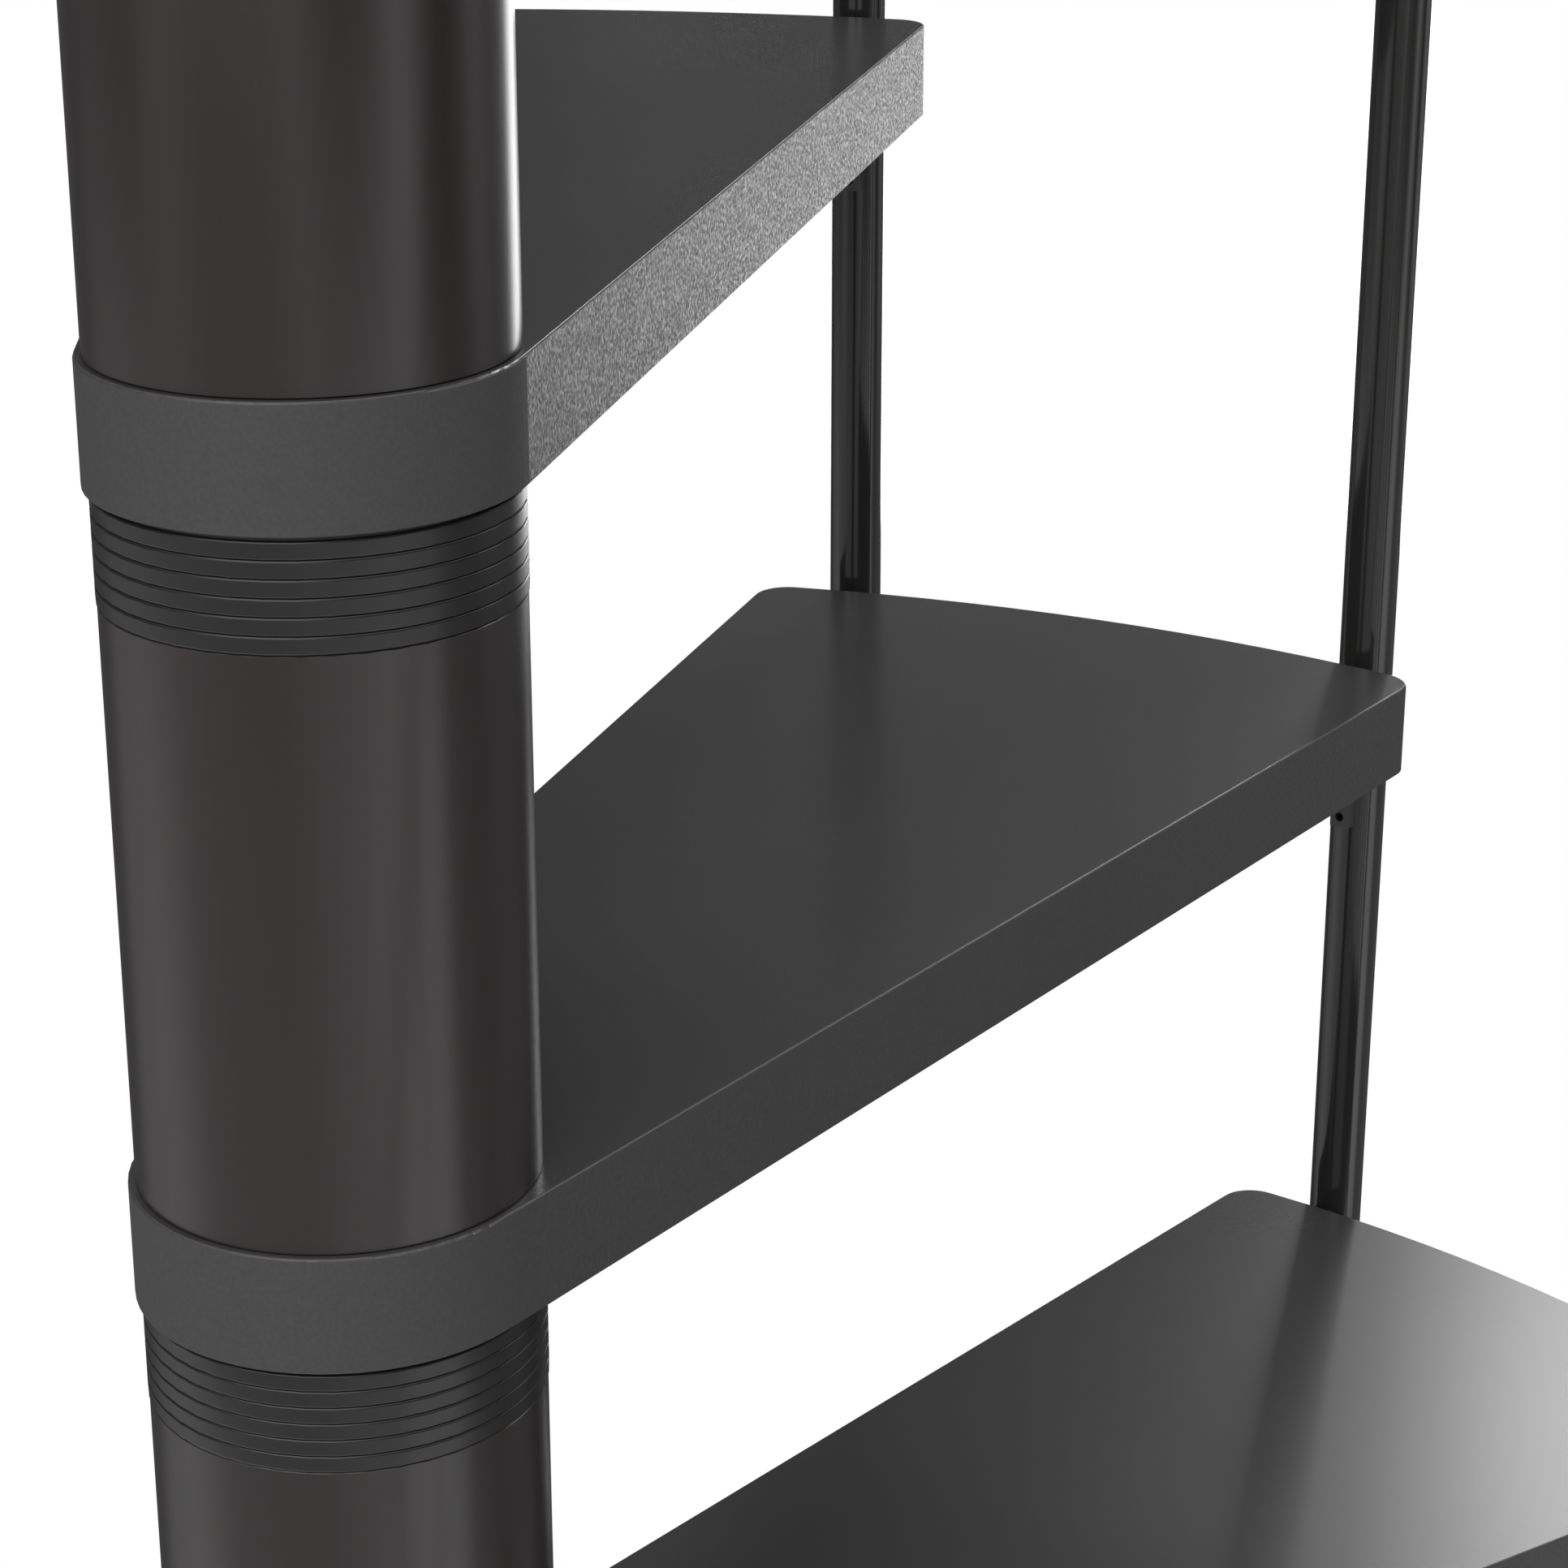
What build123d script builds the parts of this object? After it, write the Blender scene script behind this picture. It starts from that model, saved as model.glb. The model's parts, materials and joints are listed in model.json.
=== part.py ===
from build123d import *

import math
import os

# Spiral staircase, one storey high. Folded steel treads are threaded on a central pole, kept apart by
# column sleeves and packs of spacer rings, and tied together at their outer ends by the balusters,
# which carry a helical handrail. Millimetres and degrees, +Z up, origin on the column's axis at the
# floor. The treads climb counter-clockwise, seen from above.

# Flight
tread_count = 12
rise = 235
step_angle = 22.1
first_angle = -54.2

# Treads: a folded plate with a skirt all round, which wraps the column as a hub
tread_radius = 563
tread_height = 34.5
tread_sheet = 3
overlap_angle = 6.8
corner_radius = 14
edge_radius = 0.8
hub_rim = 2.1
hub_wall = 6
hub_floor = 5
rib_width = 4
rib_height = 24

# Spacer rings under each hub, and the lip of the hub that rests on them
ring_count = 6
ring_thickness = 5
ring_rim = 0.4
ring_width = 11.4
ring_rounding = 0.7
lip_thickness = 1.6
lip_inset = 1.4

# Column
sleeve_radius = 57
sleeve_wall = 3
sleeve_chamfer = 0.5
pole_radius = 30
pole_wall = 4
pole_clearance = 0.4
pole_end = 18
cap_height = 26
cap_wall = 3
cap_rounding = 9

# Base plate and its floor anchors
base_radius = 170
base_thickness = 10
base_chamfer = 2
anchor_count = 6
anchor_edge_margin = 30
anchor_hole_radius = 6.5

# Balusters, and the brackets that hold them off the treads by a block and a thinner tongue
baluster_radius = 10.5
baluster_wall = 2
baluster_gap = 8.5
baluster_tail = 6
baluster_plug = 4
baluster_chamfer = 1
bracket_width = 8
bracket_drop = 35
bracket_top_gap = 5
tongue_thickness = 4.5
bracket_hole_radius = 1.8
bracket_hole_margin = 4.3
seat_clearance = 0.1

# Handrail
rail_clearance = 0.3
handrail_radius = 20
handrail_axis_height = 900
handrail_pieces = 4
handrail_overhang_angle = 5
handrail_cap_lip = 0.8
handrail_cap_skirt = 14
handrail_cap_dome = 10

# Radii, heights and angles that follow
hub_radius = sleeve_radius + hub_rim
ring_radius = sleeve_radius + ring_rim
ring_bore_radius = ring_radius - ring_width
anchor_circle_radius = base_radius - anchor_edge_margin
baluster_circle_radius = tread_radius + baluster_gap + baluster_radius
flight_height = tread_count * rise
ring_pack_height = ring_count * ring_thickness
bracket_reach = tread_height + bracket_drop
quarter_turn = 90
half_span_angle = (step_angle + overlap_angle) / 2
half_wedge_angle = half_span_angle - math.degrees(math.asin(hub_radius / tread_radius))
rise_per_degree = rise / step_angle


def polar(radius, angle, height=0):
    """The point at this radius and angle round the column."""
    turn = math.radians(angle)
    return Vector(radius * math.cos(turn), radius * math.sin(turn), height)


def tread_angle(index):
    """Direction of a tread's centre line."""
    return first_angle + (index - 1) * step_angle


def baluster_angle(index):
    """Direction of the baluster at a tread's front; one more stands at the last tread's rear."""
    return tread_angle(index) - step_angle / 2


def handrail_height_at(angle):
    """Height of the handrail's axis, which passes every baluster at the same height over its tread."""
    return rise + handrail_axis_height + (angle - baluster_angle(1)) * rise_per_degree


def handrail_tangent(angle):
    """Direction in which the handrail climbs at this angle."""
    run = math.radians(1) * baluster_circle_radius
    across = polar(run, angle + quarter_turn)
    return Vector(across.X, across.Y, rise_per_degree).normalized()


def outline(inset):
    """Plan of a tread along +X, inset all round: two straight edges tangent to the hub, and an arc."""
    inner = hub_radius - inset
    outer = tread_radius - inset
    corner = half_wedge_angle + math.degrees(math.asin(inner / outer))
    with BuildSketch(mode=Mode.PRIVATE) as plan:
        with BuildLine():
            left = Line(polar(inner, half_wedge_angle + quarter_turn), polar(outer, corner))
            right = Line(polar(inner, -half_wedge_angle - quarter_turn), polar(outer, -corner))
            ThreePointArc(left @ 1, polar(outer, 0), right @ 1)
            ThreePointArc(right @ 0, polar(inner, 180), left @ 0)
        make_face()
        fillet(plan.vertices().group_by(Axis.X)[-1], radius=corner_radius - inset)
    return plan.sketch


def make_tread(index):
    """Folded plate, hub drum, rib and two baluster brackets, welded into one piece."""
    top = index * rise
    bottom = top - tread_height
    under_plate = top - tread_sheet
    turned = Plane.XY.rotated((0, 0, tread_angle(index)))
    drum_depth = tread_height - tread_sheet
    rib_start = hub_radius - hub_wall / 2
    rib_end = tread_radius - tread_sheet / 2
    block_start = tread_radius - tread_sheet / 2
    tongue_start = baluster_circle_radius - baluster_radius - tongue_thickness
    tongue_bottom = bottom - bracket_drop
    with BuildPart() as tread:
        with BuildSketch(turned.offset(bottom)):
            add(outline(0))
        extrude(amount=tread_height)
        fillet(tread.faces().sort_by(Axis.Z)[-1].outer_wire().edges(), radius=edge_radius)
        with BuildSketch(turned.offset(bottom)):
            add(outline(tread_sheet))
        extrude(amount=drum_depth, mode=Mode.SUBTRACT)
        with BuildSketch(turned.offset(bottom)):
            Circle(hub_radius - tread_sheet)
            Circle(hub_radius - hub_wall, mode=Mode.SUBTRACT)
        extrude(amount=drum_depth)
        with BuildSketch(turned.offset(bottom - lip_thickness)):
            Circle(ring_radius - lip_inset)
        extrude(amount=lip_thickness + hub_floor)
        with BuildSketch(turned.offset(under_plate)):
            with Locations(((rib_start + rib_end) / 2, 0)):
                Rectangle(rib_end - rib_start, rib_width)
        extrude(amount=-rib_height)
        for start, low in ((block_start, bottom), (tongue_start, tongue_bottom)):
            with BuildSketch(turned.offset(low)):
                for side in (-1, 1):
                    with Locations(Location((0, 0, 0), (0, 0, side * step_angle / 2))):
                        with Locations(((start + baluster_circle_radius) / 2, 0)):
                            Rectangle(baluster_circle_radius - start, bracket_width)
            extrude(amount=top - bracket_top_gap - low)
        with BuildSketch(turned.offset(tongue_bottom)):
            for side in (-1, 1):
                with Locations(polar(baluster_circle_radius, side * step_angle / 2)):
                    Circle(baluster_radius + seat_clearance)
        extrude(amount=bracket_reach, mode=Mode.SUBTRACT)
        for side in (-1, 1):
            angle = tread_angle(index) + side * step_angle / 2
            mouth = polar(tongue_start, angle, tongue_bottom + bracket_hole_margin)
            with BuildSketch(Plane(origin=mouth, z_dir=polar(1, angle))):
                Circle(bracket_hole_radius)
            extrude(amount=baluster_circle_radius - tongue_start, mode=Mode.SUBTRACT)
        with BuildSketch(turned.offset(bottom - lip_thickness)):
            Circle(pole_radius + pole_clearance)
        extrude(amount=tread_height + lip_thickness, mode=Mode.SUBTRACT)
    return tread.part


def make_sleeve(index):
    """Tube between a tread, or the base plate, and the spacer rings of the tread above."""
    foot = (index - 1) * rise if index > 1 else base_thickness
    head = index * rise - tread_height - lip_thickness - ring_pack_height
    with BuildPart() as sleeve:
        with BuildSketch(Plane.XY.offset(foot)):
            Circle(sleeve_radius)
            Circle(sleeve_radius - sleeve_wall, mode=Mode.SUBTRACT)
        extrude(amount=head - foot)
        rims = sleeve.edges().filter_by(GeomType.CIRCLE).group_by(SortBy.LENGTH)[-1]
        chamfer(rims, length=sleeve_chamfer)
    return sleeve.part


def make_spacer_rings():
    """One pack of round-edged rings under every hub."""
    edge_start = ring_radius - ring_rounding
    with BuildPart() as rings:
        for index in range(1, tread_count + 1):
            head = index * rise - tread_height - lip_thickness
            foot = head - ring_pack_height
            with BuildSketch(Plane.XZ):
                with BuildLine():
                    for ring in range(ring_count):
                        low = foot + ring * ring_thickness + ring_rounding
                        high = foot + (ring + 1) * ring_thickness - ring_rounding
                        CenterArc((edge_start, low), ring_rounding, -quarter_turn, quarter_turn)
                        Line((ring_radius, low), (ring_radius, high))
                        CenterArc((edge_start, high), ring_rounding, 0, quarter_turn)
                    Polyline((edge_start, head), (ring_bore_radius, head), (ring_bore_radius, foot), (edge_start, foot))
                make_face()
            revolve(axis=Axis.Z)
    return rings.part


def make_pole():
    """Tube that carries the whole stack, from the base plate to just above the last tread."""
    with BuildPart() as pole:
        with BuildSketch(Plane.XY.offset(base_thickness)):
            Circle(pole_radius)
            Circle(pole_radius - pole_wall, mode=Mode.SUBTRACT)
        extrude(amount=flight_height + pole_end - base_thickness)
    return pole.part


def make_cap():
    """Hollow domed cap over the end of the pole."""
    with BuildPart() as cap:
        with BuildSketch(Plane.XY.offset(flight_height)):
            Circle(sleeve_radius)
        extrude(amount=cap_height)
        fillet(cap.edges().group_by(Axis.Z)[-1], radius=cap_rounding)
        with BuildSketch(Plane.XY.offset(flight_height)):
            Circle(sleeve_radius - cap_wall)
        extrude(amount=cap_height - cap_wall - cap_rounding, mode=Mode.SUBTRACT)
        with BuildSketch(Plane.XY.offset(flight_height)):
            Circle(pole_radius + pole_clearance)
        extrude(amount=cap_height - cap_wall, mode=Mode.SUBTRACT)
    return cap.part


def make_base_plate():
    """Round floor plate with a ring of anchor holes."""
    with BuildPart() as base:
        with BuildSketch():
            Circle(base_radius)
            with PolarLocations(anchor_circle_radius, anchor_count):
                Circle(anchor_hole_radius, mode=Mode.SUBTRACT)
        extrude(amount=base_thickness)
        rim = base.edges().group_by(Axis.Z)[-1].sort_by(SortBy.LENGTH)[-1]
        chamfer(rim, length=base_chamfer)
    return base.part


def make_baluster(index):
    """Plugged tube on the brackets of two treads, with its head shaped to the handrail."""
    angle = baluster_angle(index)
    foot = (index - 1) * rise - bracket_reach - baluster_tail if index > 1 else 0
    rail_point = polar(baluster_circle_radius, angle, handrail_height_at(angle))
    place = Plane(origin=polar(baluster_circle_radius, angle, foot))
    with BuildPart() as baluster:
        with BuildSketch(place):
            Circle(baluster_radius)
        extrude(amount=rail_point.Z - foot)
        chamfer(baluster.edges().group_by(Axis.Z)[0], length=baluster_chamfer)
        with BuildSketch(place.offset(baluster_plug)):
            Circle(baluster_radius - baluster_wall)
        extrude(amount=rail_point.Z - foot - baluster_plug, mode=Mode.SUBTRACT)
        with BuildSketch(Plane(origin=rail_point, z_dir=handrail_tangent(angle))):
            Circle(handrail_radius + rail_clearance)
        extrude(amount=2 * (handrail_radius + baluster_radius), both=True, mode=Mode.SUBTRACT)
    return baluster.part


def make_handrail(index):
    """One length of the helical handrail; the first and the last have an end cap."""
    start_angle = baluster_angle(1) - handrail_overhang_angle
    piece_angle = (tread_count * step_angle + 2 * handrail_overhang_angle) / handrail_pieces
    angle = start_angle + (index - 1) * piece_angle
    base = handrail_height_at(angle)
    cap_radius = handrail_radius + handrail_cap_lip
    with BuildPart() as handrail:
        with BuildLine() as path:
            Helix(360 * rise_per_degree, piece_angle * rise_per_degree, baluster_circle_radius, (0, 0, base))
        ends = {1: (path.line @ 0, path.line % 0 * -1), handrail_pieces: (path.line @ 1, path.line % 1)}
        with BuildSketch(Plane(origin=path.line @ 0, z_dir=path.line % 0)):
            Circle(handrail_radius)
        sweep(path=path.line, is_frenet=True)
        if index in ends:
            point, outward = ends[index]
            with BuildSketch(Plane(origin=point, x_dir=outward, z_dir=outward.cross(Vector(0, 0, 1)))):
                with BuildLine():
                    EllipticalCenterArc((0, 0), handrail_cap_dome, cap_radius, arc_size=quarter_turn)
                    Polyline(
                        (0, cap_radius),
                        (-handrail_cap_skirt, cap_radius),
                        (-handrail_cap_skirt, 0),
                        (handrail_cap_dome, 0),
                    )
                make_face()
            revolve(axis=Axis(point, outward))
    return handrail.part.rotate(Axis.Z, angle)


def write(part, name):
    """Label a finished piece and write it."""
    part.label = name
    export_step(part, f"parts/{name}.step")


os.makedirs("parts", exist_ok=True)
write(make_base_plate(), "base_plate")
write(make_pole(), "center_pole")
write(make_cap(), "column_cap")
write(make_spacer_rings(), "spacer_rings")
for number in range(1, tread_count + 1):
    write(make_tread(number), f"tread_{number:02d}")
    write(make_sleeve(number), f"sleeve_{number:02d}")
for number in range(1, tread_count + 2):
    write(make_baluster(number), f"baluster_{number:02d}")
for number in range(1, handrail_pieces + 1):
    write(make_handrail(number), f"handrail_{number}")
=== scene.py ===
import json
import math

import bmesh
import bpy
from mathutils import Matrix, Vector


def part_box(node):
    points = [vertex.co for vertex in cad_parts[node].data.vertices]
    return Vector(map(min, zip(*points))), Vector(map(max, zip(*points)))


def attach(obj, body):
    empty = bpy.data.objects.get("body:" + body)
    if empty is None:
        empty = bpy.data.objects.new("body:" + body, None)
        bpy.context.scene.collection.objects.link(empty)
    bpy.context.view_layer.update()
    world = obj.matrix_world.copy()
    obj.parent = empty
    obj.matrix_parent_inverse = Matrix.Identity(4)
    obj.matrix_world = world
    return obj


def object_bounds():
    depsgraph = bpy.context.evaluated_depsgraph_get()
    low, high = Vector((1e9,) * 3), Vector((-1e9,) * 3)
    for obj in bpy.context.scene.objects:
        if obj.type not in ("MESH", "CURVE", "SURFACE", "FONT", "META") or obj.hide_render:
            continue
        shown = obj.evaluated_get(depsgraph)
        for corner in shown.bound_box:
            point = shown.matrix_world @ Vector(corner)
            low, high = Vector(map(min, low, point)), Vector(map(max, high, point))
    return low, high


# Looks of a steel spiral staircase: powder-coated treads, satin column sleeves, gloss balusters, moulded
# spacer rings and handrail, and the small fasteners. Metres, +Z up, the column's axis on the Z axis.
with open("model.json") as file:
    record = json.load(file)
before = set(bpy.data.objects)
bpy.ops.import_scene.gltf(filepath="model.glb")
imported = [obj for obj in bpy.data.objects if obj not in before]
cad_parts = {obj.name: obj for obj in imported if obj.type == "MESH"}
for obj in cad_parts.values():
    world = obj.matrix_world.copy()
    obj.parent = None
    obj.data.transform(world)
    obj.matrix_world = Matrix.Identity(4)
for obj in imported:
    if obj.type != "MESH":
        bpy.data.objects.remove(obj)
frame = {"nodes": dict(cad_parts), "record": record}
cad_box = [list(corner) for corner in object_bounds()]

# The tread in the middle of the picture, and the camera's place against it, in metres and degrees
view_tread = 6
camera_distance = 0.98146
camera_rise = 0.47087
camera_turn_from_tread = -146.225
camera_pan_right = 7.307
camera_tilt_down = 20.85
camera_shift = 0.03
camera_clip_start = 0.05

# Lens and sensor, in millimetres
camera_lens = 87.915
camera_sensor = 36.0

# Units and plain values
mm_per_metre = 1000
full_turn = 2 * math.pi
half = 0.5
unit_range = (0.0, 1.0)
white = (1.0, 1.0, 1.0, 1.0)


def polar(radius, turn, height=0.0):
    """The point at this radius and turn, in radians, round the column."""
    return Vector((radius * math.cos(turn), radius * math.sin(turn), height))


def middle_of(node):
    """Middle of a node's box."""
    low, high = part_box(node)
    return (low + high) / 2


def baluster_turn(number):
    """Direction from the column to a baluster, in radians."""
    middle = middle_of(f"baluster_{number:02d}")
    return math.atan2(middle.y, middle.x)


# Sizes read from the frame
tread_count = sum(name.startswith("tread_") for name in frame["nodes"])
sleeve_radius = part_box(f"sleeve_{view_tread:02d}")[1].x
base_low, base_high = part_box("base_plate")
mounts = {mount["name"]: mount for mount in frame["record"]["mounts"]}
anchor_dims = mounts["anchor_bolts"]["dims"]
anchor_count = int(anchor_dims["count"])
anchor_circle_radius = anchor_dims["pcd_mm"] / 2 / mm_per_metre

# Materials: noise sizes and bump depths in metres, colours and roughness from low to high. Away from rounded
# edges the grain keeps roughness on one side of 0.274, where the denoiser of the render changes its guide.
noise_middle = (0.3, 0.7)
smooth_detail = 1.0
cloud_detail = 3.0

# Places of the two values and of the result among a Mix node's sockets
mix_number_sockets = (2, 3, 0)
mix_colour_sockets = (6, 7, 2)


def add_node(tree, kind, settings=None, inputs=None):
    """A node with these settings. An input is a number or colour, or the socket that feeds it."""
    item = tree.nodes.new(kind)
    for name, value in (settings or {}).items():
        setattr(item, name, value)
    for name, value in (inputs or {}).items():
        if isinstance(value, bpy.types.NodeSocket):
            tree.links.new(value, item.inputs[name])
        else:
            item.inputs[name].default_value = value
    return item


def new_material(name):
    """A material with a Principled shader, ready for its sockets."""
    material = bpy.data.materials.new(name)
    material.use_nodes = True
    tree = material.node_tree
    place = add_node(tree, "ShaderNodeTexCoord").outputs["Object"]
    return material, tree, tree.nodes["Principled BSDF"], place


def noise(tree, place, size, detail=2.0, roughness=0.5):
    """Noise whose blotches are about this size."""
    inputs = {"Vector": place, "Scale": 1 / size, "Detail": detail, "Roughness": roughness}
    return add_node(tree, "ShaderNodeTexNoise", None, inputs).outputs["Fac"]


def map_range(tree, value, inside, outside):
    """A value's range stretched to another range, clamped."""
    inputs = {
        "Value": value,
        "From Min": inside[0],
        "From Max": inside[1],
        "To Min": outside[0],
        "To Max": outside[1],
    }
    return add_node(tree, "ShaderNodeMapRange", None, inputs).outputs["Result"]


def spread(tree, factor, outside):
    """A noise's middle range stretched to another range."""
    return map_range(tree, factor, noise_middle, outside)


def math_node(tree, operation, first, second=0.0, third=0.0):
    """A math node's result."""
    inputs = {0: first, 1: second, 2: third}
    return add_node(tree, "ShaderNodeMath", {"operation": operation}, inputs).outputs[0]


def blend_values(tree, factor, first, second):
    """A value between two others."""
    first_place, second_place, result_place = mix_number_sockets
    item = add_node(tree, "ShaderNodeMix", {"data_type": "FLOAT"}, {"Factor": factor})
    tree.links.new(first, item.inputs[first_place])
    tree.links.new(second, item.inputs[second_place])
    return item.outputs[result_place]


def blend_colours(tree, factor, first, second):
    """A colour between two others."""
    first_place, second_place, result_place = mix_colour_sockets
    item = add_node(tree, "ShaderNodeMix", {"data_type": "RGBA"}, {"Factor": factor})
    for socket, value in ((item.inputs[first_place], first), (item.inputs[second_place], second)):
        if isinstance(value, bpy.types.NodeSocket):
            tree.links.new(value, socket)
        else:
            socket.default_value = (*value, 1.0)
    return item.outputs[result_place]


def bump(tree, height, depth, under=None):
    """A bump of this depth, on top of another one."""
    inputs = {"Height": height, "Strength": 1.0, "Distance": depth}
    if under is not None:
        inputs["Normal"] = under
    return add_node(tree, "ShaderNodeBump", None, inputs).outputs["Normal"]


def connect(tree, shader, **sockets):
    """Feed the shader's sockets, named with underscores."""
    for name, socket in sockets.items():
        tree.links.new(socket, shader.inputs[name.replace("_", " ").title()])


# Powder coat. Faces count as level or upright by how far their normal rises.
powder_grain_size = 0.0012
powder_cloud_size = 0.09
powder_cloud_colours = ((0.039, 0.0372, 0.0372), (0.047, 0.0448, 0.0448))
powder_speck_colours = ((0.030, 0.0286, 0.0286), (0.056, 0.0534, 0.0534))
powder_speck_share = 0.3
powder_level_speck_share = 0.0
powder_side_roughness = 0.45
powder_side_swing = 0.135
powder_level_roughness = 0.246
powder_level_swing = 0.005
powder_grain_depth = 0.0001
powder_level_depth_share = 0.1
level_rise = (0.6, 0.95)
upright_rise = (0.1, 0.4)
plan_axes = (1, 1, 0)
hub_roughness = 0.75
hub_rim = 0.0022
hub_edge_fade = 0.0002


def powder_coat(name, hub_radius=None):
    """Fine sandy charcoal powder coat, smoother on level faces and matt on the sides of the hub."""
    material, tree, shader, place = new_material(name)
    grain = noise(tree, place, powder_grain_size, smooth_detail)
    clouds = noise(tree, place, powder_cloud_size, cloud_detail)
    normal_axes = add_node(tree, "ShaderNodeNewGeometry").outputs["Normal"]
    rise = add_node(tree, "ShaderNodeSeparateXYZ", None, {0: normal_axes}).outputs["Z"]
    level = map_range(tree, rise, level_rise, unit_range)
    cloudy = blend_colours(tree, clouds, *powder_cloud_colours)
    speck = blend_colours(tree, spread(tree, grain, unit_range), *powder_speck_colours)
    speck_share = map_range(tree, level, unit_range, (powder_speck_share, powder_level_speck_share))
    colour = blend_colours(tree, speck_share, cloudy, speck)
    swing = spread(tree, grain, (-1.0, 1.0))
    side = math_node(tree, "MULTIPLY_ADD", swing, powder_side_swing, powder_side_roughness)
    top = math_node(tree, "MULTIPLY_ADD", swing, powder_level_swing, powder_level_roughness)
    roughness = blend_values(tree, level, side, top)
    if hub_radius is not None:
        plan = add_node(tree, "ShaderNodeVectorMath", {"operation": "MULTIPLY"}, {0: place, 1: plan_axes})
        length = add_node(tree, "ShaderNodeVectorMath", {"operation": "LENGTH"}, {0: plan.outputs["Vector"]})
        hub_edge = (hub_radius, hub_radius + hub_edge_fade)
        matt = map_range(tree, length.outputs["Value"], hub_edge, (hub_roughness, 0.0))
        upright = map_range(tree, rise, upright_rise, (1.0, 0.0))
        roughness = math_node(tree, "MAXIMUM", roughness, math_node(tree, "MULTIPLY", matt, upright))
    depth_share = map_range(tree, level, unit_range, (1.0, powder_level_depth_share))
    normal = bump(tree, math_node(tree, "MULTIPLY", grain, depth_share), powder_grain_depth)
    connect(tree, shader, base_color=colour, roughness=roughness, normal=normal)
    return material


# Satin paint
satin_grain_size = 0.0009
satin_peel_size = 0.004
satin_wave_size = 0.02
satin_cloud_size = 0.12
satin_colours = ((0.0145, 0.0117, 0.0111), (0.0175, 0.0143, 0.0137))
satin_roughness = (0.235, 0.265)
satin_grain_depth = 0.000002
satin_peel_depth = 0.000006
satin_wave_depth = 0.000015


def satin_paint(name):
    """Satin near-black paint with a faint orange peel, for the column sleeves."""
    material, tree, shader, place = new_material(name)
    grain = noise(tree, place, satin_grain_size)
    peel = noise(tree, place, satin_peel_size, smooth_detail)
    waves = noise(tree, place, satin_wave_size, smooth_detail)
    clouds = noise(tree, place, satin_cloud_size, cloud_detail)
    colour = blend_colours(tree, clouds, *satin_colours)
    roughness = spread(tree, grain, satin_roughness)
    wavy = bump(tree, waves, satin_wave_depth)
    peeled = bump(tree, peel, satin_peel_depth, wavy)
    normal = bump(tree, grain, satin_grain_depth, peeled)
    connect(tree, shader, base_color=colour, roughness=roughness, normal=normal)
    return material


# Gloss paint
gloss_grain_size = 0.001
gloss_peel_size = 0.005
gloss_cloud_size = 0.08
gloss_colours = ((0.0185, 0.0175, 0.0170), (0.0225, 0.0213, 0.0207))
gloss_roughness = (0.11, 0.16)
gloss_peel_depth = 0.000008


def gloss_paint(name):
    """Gloss near-black paint, for the balusters."""
    material, tree, shader, place = new_material(name)
    grain = noise(tree, place, gloss_grain_size)
    peel = noise(tree, place, gloss_peel_size, smooth_detail)
    clouds = noise(tree, place, gloss_cloud_size, cloud_detail)
    colour = blend_colours(tree, clouds, *gloss_colours)
    roughness = spread(tree, grain, gloss_roughness)
    normal = bump(tree, peel, gloss_peel_depth)
    connect(tree, shader, base_color=colour, roughness=roughness, normal=normal)
    return material


# Moulded plastic
plastic_grain_size = 0.0008
plastic_grain_detail = 3.0
plastic_grain_roughness = 0.6
plastic_cloud_size = 0.05


def moulded_plastic(name, colours, roughness_range, grain_depth, shine=0.5):
    """Moulded plastic with a fine grain."""
    material, tree, shader, place = new_material(name)
    grain = noise(tree, place, plastic_grain_size, plastic_grain_detail, plastic_grain_roughness)
    clouds = noise(tree, place, plastic_cloud_size, cloud_detail)
    colour = blend_colours(tree, clouds, *colours)
    roughness = spread(tree, grain, roughness_range)
    normal = bump(tree, grain, grain_depth)
    shader.inputs["Specular IOR Level"].default_value = shine
    connect(tree, shader, base_color=colour, roughness=roughness, normal=normal)
    return material


# Bare steel
steel_grain_size = 0.0006
steel_spangle_size = 0.006
steel_grain_depth = 0.00001


def bare_steel(name, colours, roughness_range):
    """Plated or blackened steel with a faint spangle, for the fasteners and the pole."""
    material, tree, shader, place = new_material(name)
    grain = noise(tree, place, steel_grain_size)
    spangle = noise(tree, place, steel_spangle_size, cloud_detail)
    colour = blend_colours(tree, spangle, *colours)
    roughness = spread(tree, spangle, roughness_range)
    normal = bump(tree, grain, steel_grain_depth)
    shader.inputs["Metallic"].default_value = 1.0
    connect(tree, shader, base_color=colour, roughness=roughness, normal=normal)
    return material


# Finishes of the record's material slots
finishes = {
    "tread_paint": powder_coat("tread_powder_coat", sleeve_radius + hub_rim),
    "base_paint": powder_coat("base_powder_coat"),
    "sleeve_paint": satin_paint("sleeve_satin_paint"),
    "baluster_paint": gloss_paint("baluster_gloss_paint"),
    "ring_plastic": moulded_plastic(
        "ring_moulded",
        colours=((0.009, 0.0081, 0.0081), (0.0115, 0.0104, 0.0104)),
        roughness_range=(0.28, 0.34),
        grain_depth=0.00001,
        shine=0.45,
    ),
    "cap_plastic": moulded_plastic(
        "cap_moulded",
        colours=((0.018, 0.017, 0.017), (0.023, 0.022, 0.021)),
        roughness_range=(0.35, 0.45),
        grain_depth=0.00002,
    ),
    "handrail_plastic": moulded_plastic(
        "handrail_moulded",
        colours=((0.014, 0.013, 0.013), (0.019, 0.018, 0.0175)),
        roughness_range=(0.32, 0.42),
        grain_depth=0.00003,
    ),
    "pole_steel": bare_steel(
        "pole_zinc",
        colours=((0.34, 0.34, 0.35), (0.46, 0.46, 0.47)),
        roughness_range=(0.28, 0.45),
    ),
}
slot_of_node = {part["node"]: part["material_slot"] for part in frame["record"]["subparts"]}
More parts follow.
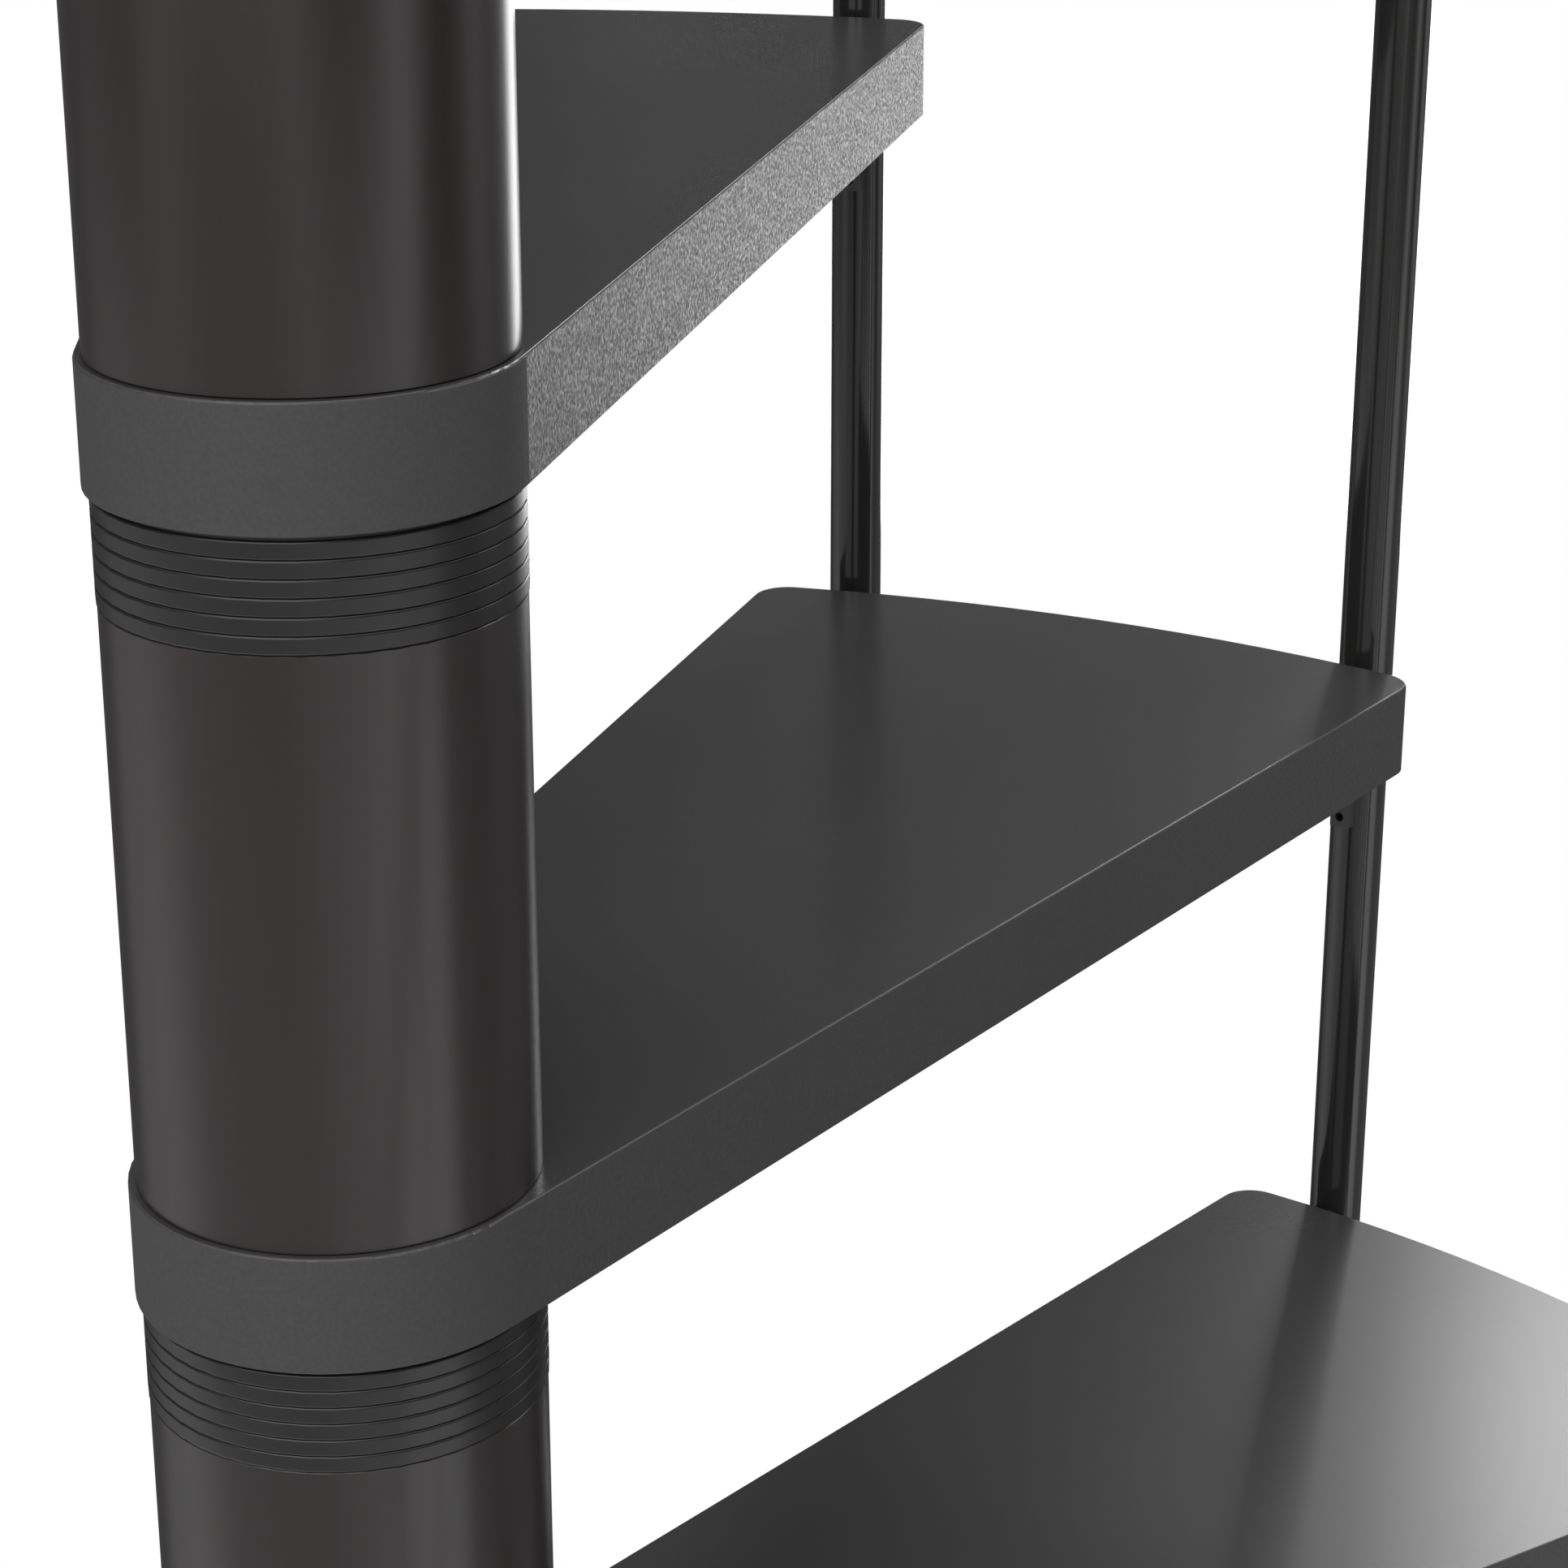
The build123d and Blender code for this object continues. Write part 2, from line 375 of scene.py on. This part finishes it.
for node_name, node in frame["nodes"].items():
    node.data.materials.clear()
    node.data.materials.append(finishes[slot_of_node[node_name]])


# Small fasteners
stud_radius = 0.006
thread_root_radius = 0.0051
thread_pitch = 0.00175
stud_threads = 5
washer_radius = 0.012
washer_thickness = 0.0025
washer_edge = 0.0004
nut_across_flats = 0.018
nut_height = 0.010
nut_chamfer = 0.0018
anchor_sides = 48
screw_radius = 0.00175
screw_length = 0.003
screw_edge = 0.0002
screw_socket = 0.002
screw_socket_depth = 0.0016
screw_sides = 24
screw_colours = ((0.012, 0.012, 0.013), (0.022, 0.022, 0.023))
screw_roughness = (0.35, 0.5)
bracket_hole_margin = 0.0043
weld_distance = 0.000001


def new_piece(name, builder, material):
    """A mesh piece on the stair's one body."""
    mesh = bpy.data.meshes.new(name)
    bmesh.ops.remove_doubles(builder, verts=builder.verts, dist=weld_distance)
    bmesh.ops.recalc_face_normals(builder, faces=builder.faces)
    builder.to_mesh(mesh)
    builder.free()
    piece = bpy.data.objects.new(name, mesh)
    bpy.context.scene.collection.objects.link(piece)
    mesh.materials.append(material)
    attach(piece, "root")


def lathe(builder, profile, place, sides, smooth=False):
    """Turn (radius, height) points round a place's Z axis. A radius may vary with the turn."""
    turns = [full_turn * side / sides for side in range(sides)]
    rings = []
    for radius, height in profile:
        radii = [radius(turn) if callable(radius) else radius for turn in turns]
        points = [polar(reach, turn, height) for reach, turn in zip(radii, turns)]
        rings.append([builder.verts.new(place @ point) for point in points])
    for lower, upper in zip(rings, rings[1:]):
        for side in range(sides):
            after = (side + 1) % sides
            builder.faces.new((lower[side], lower[after], upper[after], upper[side])).smooth = smooth


def hexagon(across_flats, largest=math.inf):
    """Radius of a hexagon at a turn, cut off at the largest radius."""
    sixth = math.pi / 3
    return lambda turn: min(largest, across_flats / 2 / math.cos(turn % sixth - sixth / 2))


def make_anchor_bolts():
    """Washer, hex nut and threaded stud in every hole of the base plate."""
    builder = bmesh.new()
    plate = base_high.z - base_low.z
    washer = [
        (stud_radius, 0.0),
        (washer_radius, 0.0),
        (washer_radius, washer_thickness - washer_edge),
        (washer_radius - washer_edge, washer_thickness),
        (stud_radius, washer_thickness),
        (stud_radius, 0.0),
    ]
    nut_low = washer_thickness
    nut_high = nut_low + nut_height
    flat_radius = nut_across_flats / 2
    corner_radius = nut_across_flats / math.sqrt(3)
    nut = [
        (stud_radius, nut_low),
        (hexagon(nut_across_flats, flat_radius), nut_low),
        (hexagon(nut_across_flats), nut_low + nut_chamfer),
        (hexagon(nut_across_flats), nut_high - nut_chamfer),
        (hexagon(nut_across_flats, (corner_radius + flat_radius) / 2), nut_high - nut_chamfer / 2),
        (hexagon(nut_across_flats, flat_radius), nut_high),
        (stud_radius, nut_high),
        (stud_radius, nut_low),
    ]
    stud = [(0.0, -plate), (thread_root_radius, -plate), (thread_root_radius, nut_high)]
    for thread in range(stud_threads):
        crest = nut_high + (thread + half) * thread_pitch
        stud += [(stud_radius, crest), (thread_root_radius, crest + thread_pitch / 2)]
    stud.append((0.0, stud[-1][1]))
    for number in range(anchor_count):
        turn = full_turn * number / anchor_count
        spot = polar(anchor_circle_radius, turn, base_high.z)
        place = Matrix.Translation(spot) @ Matrix.Rotation(turn, 4, "Z")
        lathe(builder, washer, place, anchor_sides, smooth=True)
        lathe(builder, nut, place, anchor_sides)
        lathe(builder, stud, place, anchor_sides)
    new_piece("anchor_bolts", builder, finishes["pole_steel"])


def make_bracket_screws():
    """Socket set screw in the tongue of every bracket, pressed on the baluster and sunk below the face."""
    builder = bmesh.new()
    black_steel = bare_steel("screw_black", screw_colours, screw_roughness)
    socket = hexagon(screw_socket)
    socket_floor = screw_length - screw_socket_depth
    screw = [
        (0.0, 0.0),
        (screw_radius, 0.0),
        (screw_radius, screw_length - screw_edge),
        (screw_radius - screw_edge, screw_length),
        (socket, screw_length),
        (socket, socket_floor),
        (0.0, socket_floor),
    ]
    for tread in range(1, tread_count + 1):
        tongue_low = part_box(f"tread_{tread:02d}")[0].z
        for number in (tread, tread + 1):
            baluster = f"baluster_{number:02d}"
            low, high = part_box(baluster)
            middle = middle_of(baluster)
            seat = Vector((middle.x, middle.y, 0.0)).length - (high.x - low.x) / 2
            turn = baluster_turn(number)
            tip = polar(seat, turn, tongue_low + bracket_hole_margin)
            inward = polar(-1.0, turn).to_track_quat("Z", "Y")
            place = Matrix.Translation(tip) @ inward.to_matrix().to_4x4()
            lathe(builder, screw, place, screw_sides)
    new_piece("bracket_screws", builder, black_steel)


def make_camera():
    """The photograph's viewpoint, placed against the tread in the middle of the picture."""
    view_turn = (baluster_turn(view_tread) + baluster_turn(view_tread + 1)) / 2
    view_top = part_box(f"tread_{view_tread:02d}")[1].z
    camera_turn = view_turn + math.radians(camera_turn_from_tread)
    heading = camera_turn + math.pi - math.radians(camera_pan_right)
    tilt = math.radians(camera_tilt_down)
    sight = polar(math.cos(tilt), heading, -math.sin(tilt))
    data = bpy.data.cameras.new("camera")
    data.lens = camera_lens
    data.sensor_width = camera_sensor
    data.shift_y = camera_shift
    data.clip_start = camera_clip_start
    camera = bpy.data.objects.new("camera", data)
    camera.location = polar(camera_distance, camera_turn, view_top + camera_rise)
    camera.rotation_euler = sight.to_track_quat("-Z", "Y").to_euler()
    bpy.context.scene.collection.objects.link(camera)
    bpy.context.scene.camera = camera


# Studio: the floor, and the point that the lamps stand round
floor_radius = 1.85
floor_fade_start = 1.0
floor_segments = 128
floor_colour = (0.9, 0.9, 0.9, 1.0)
floor_lift = 0.2
studio_middle = Vector((0.2, 0.25, 0.0))

# Light of the room, as (share, level) stops. A share of the turn starts at -X and runs counter-clockwise,
# seen from above. A share of the height runs from straight down to straight up.
upper_wall_by_turn = (
    (0.0, 0.22), (0.06, 0.78), (0.12, 0.3), (0.21, 0.34), (0.255, 0.68), (0.325, 0.08), (0.365, 0.35),
    (0.41, 1.4), (0.435, 0.7), (0.475, 0.02), (0.535, 0.66), (0.6, 0.25), (0.64, 0.18), (0.85, 0.1),
    (0.93, 0.26), (1.0, 0.22),
)
lower_wall_by_turn = (
    (0.0, 0.98), (0.05, 0.7), (0.2, 0.66), (0.28, 1.0), (0.335, 1.55), (0.385, 1.85), (0.42, 1.5),
    (0.46, 0.42), (0.51, 0.29), (0.57, 0.26), (0.64, 0.08), (0.84, 0.1), (0.91, 0.55), (0.96, 0.98),
    (1.0, 0.98),
)
upper_wall_share_by_height = ((0.33, 0.0), (0.36, 0.1), (0.4, 0.9), (0.43, 1.0))
wall_by_height = ((0.0, 0.8), (0.5, 1.0), (0.53, 0.0))
band_by_height = (
    (0.5, 0.0), (0.56, 0.03), (0.62, 0.094), (0.67, 0.162), (0.72, 0.145), (0.77, 0.21), (0.83, 0.0),
)
band_by_turn = ((0.55, 1.0), (0.6, 0.03), (0.711, 0.03), (0.735, 1.0))
zenith_by_height = ((0.74, 0.0), (0.82, 0.52), (0.88, 1.45), (1.0, 2.36))


def ramp(tree, factor, stops):
    """A smooth grey ramp through (share, level) stops."""
    item = add_node(tree, "ShaderNodeValToRGB", None, {"Fac": factor})
    item.color_ramp.interpolation = "EASE"
    elements = item.color_ramp.elements
    while len(elements) < len(stops):
        elements.new(half)
    for element, (share, level) in zip(elements, stops):
        element.position = share
        element.color = (level, level, level, 1.0)
    return item.outputs["Color"]


def make_world():
    """White to the camera, and to all else a pale room with uneven walls and a lit ceiling."""
    world = bpy.data.worlds.new("studio")
    world.use_nodes = True
    tree = world.node_tree
    background = tree.nodes["Background"]
    direction = add_node(tree, "ShaderNodeTexCoord").outputs["Generated"]
    axes = add_node(tree, "ShaderNodeSeparateXYZ", None, {0: direction}).outputs
    turn = math_node(tree, "ARCTAN2", axes["Y"], axes["X"])
    turn_share = math_node(tree, "MULTIPLY_ADD", turn, 1 / full_turn, half)
    height_share = math_node(tree, "MULTIPLY_ADD", axes["Z"], half, half)
    upper_wall_share = ramp(tree, height_share, upper_wall_share_by_height)
    lower_wall = ramp(tree, turn_share, lower_wall_by_turn)
    upper_wall = ramp(tree, turn_share, upper_wall_by_turn)
    mixed_wall = blend_values(tree, upper_wall_share, lower_wall, upper_wall)
    walls = math_node(tree, "MULTIPLY", mixed_wall, ramp(tree, height_share, wall_by_height))
    band = ramp(tree, height_share, band_by_height)
    band_side = ramp(tree, turn_share, band_by_turn)
    zenith = ramp(tree, height_share, zenith_by_height)
    ceiling = math_node(tree, "MULTIPLY_ADD", band, band_side, zenith)
    room = math_node(tree, "ADD", walls, ceiling)
    camera_ray = add_node(tree, "ShaderNodeLightPath").outputs["Is Camera Ray"]
    strength = math_node(tree, "MAXIMUM", camera_ray, room)
    background.inputs["Color"].default_value = white
    tree.links.new(strength, background.inputs["Strength"])
    bpy.context.scene.world = world


def floor_finish():
    """Pale matt floor, a little lifted where it is seen, that fades out to clear at its edge."""
    material = bpy.data.materials.new("floor_pale")
    material.use_nodes = True
    tree = material.node_tree
    tree.nodes.remove(tree.nodes["Principled BSDF"])
    place = add_node(tree, "ShaderNodeTexCoord").outputs["Object"]
    radius = add_node(tree, "ShaderNodeVectorMath", {"operation": "LENGTH"}, {0: place}).outputs["Value"]
    edge = {"Value": radius, "From Min": floor_fade_start, "From Max": floor_radius}
    fade = add_node(tree, "ShaderNodeMapRange", {"interpolation_type": "SMOOTHSTEP"}, edge).outputs["Result"]
    rays = add_node(tree, "ShaderNodeLightPath").outputs
    seen = math_node(tree, "MAXIMUM", rays["Is Camera Ray"], rays["Is Glossy Ray"])
    seen = math_node(tree, "MAXIMUM", seen, rays["Is Transmission Ray"])
    lift = math_node(tree, "MULTIPLY", seen, floor_lift)
    matt = add_node(tree, "ShaderNodeBsdfDiffuse", None, {"Color": floor_colour}).outputs[0]
    glow = add_node(tree, "ShaderNodeEmission", None, {"Strength": lift}).outputs[0]
    pale = add_node(tree, "ShaderNodeAddShader", None, {0: matt, 1: glow}).outputs[0]
    clear = add_node(tree, "ShaderNodeBsdfTransparent").outputs[0]
    surface = add_node(tree, "ShaderNodeMixShader", None, {"Fac": fade, 1: pale, 2: clear}).outputs[0]
    tree.links.new(surface, tree.nodes["Material Output"].inputs["Surface"])
    return material


def make_floor():
    """A round floor under the stair that keeps its shadow."""
    builder = bmesh.new()
    bmesh.ops.create_circle(builder, cap_ends=True, segments=floor_segments, radius=floor_radius)
    mesh = bpy.data.meshes.new("floor")
    builder.to_mesh(mesh)
    builder.free()
    mesh.materials.append(floor_finish())
    floor = bpy.data.objects.new("floor", mesh)
    floor.location.z = cad_box[0][2]
    bpy.context.scene.collection.objects.link(floor)


def softbox(name, turn, distance, base, width, height, radiance):
    """An upright soft panel facing the stair: turn from +Y to the right in degrees, base its lower edge."""
    data = bpy.data.lights.new(name, "AREA")
    data.shape = "RECTANGLE"
    data.size = width
    data.size_y = height
    data.energy = radiance * math.pi * width * height
    lamp = bpy.data.objects.new(name, data)
    outward = polar(1.0, math.radians(90 - turn))
    lamp.location = studio_middle + distance * outward + Vector((0.0, 0.0, base + height / 2))
    lamp.rotation_euler = (-outward).to_track_quat("-Z", "Y").to_euler()
    lamp.visible_camera = False
    bpy.context.scene.collection.objects.link(lamp)


make_anchor_bolts()
make_bracket_screws()
make_camera()
make_world()
make_floor()
softbox("back_softbox", turn=25.6, distance=4.7, base=3.28, width=0.72, height=1.25, radiance=10.5)
softbox("side_softbox", turn=66, distance=3.6, base=3.2, width=1.2, height=1.4, radiance=4.2)
softbox("low_panel", turn=20, distance=4.5, base=0.2, width=2.75, height=1.55, radiance=3.95)
softbox("front_key", turn=-150, distance=2.8, base=1.7, width=3.2, height=3.0, radiance=2.4)
bpy.context.scene.view_settings.view_transform = "Standard"
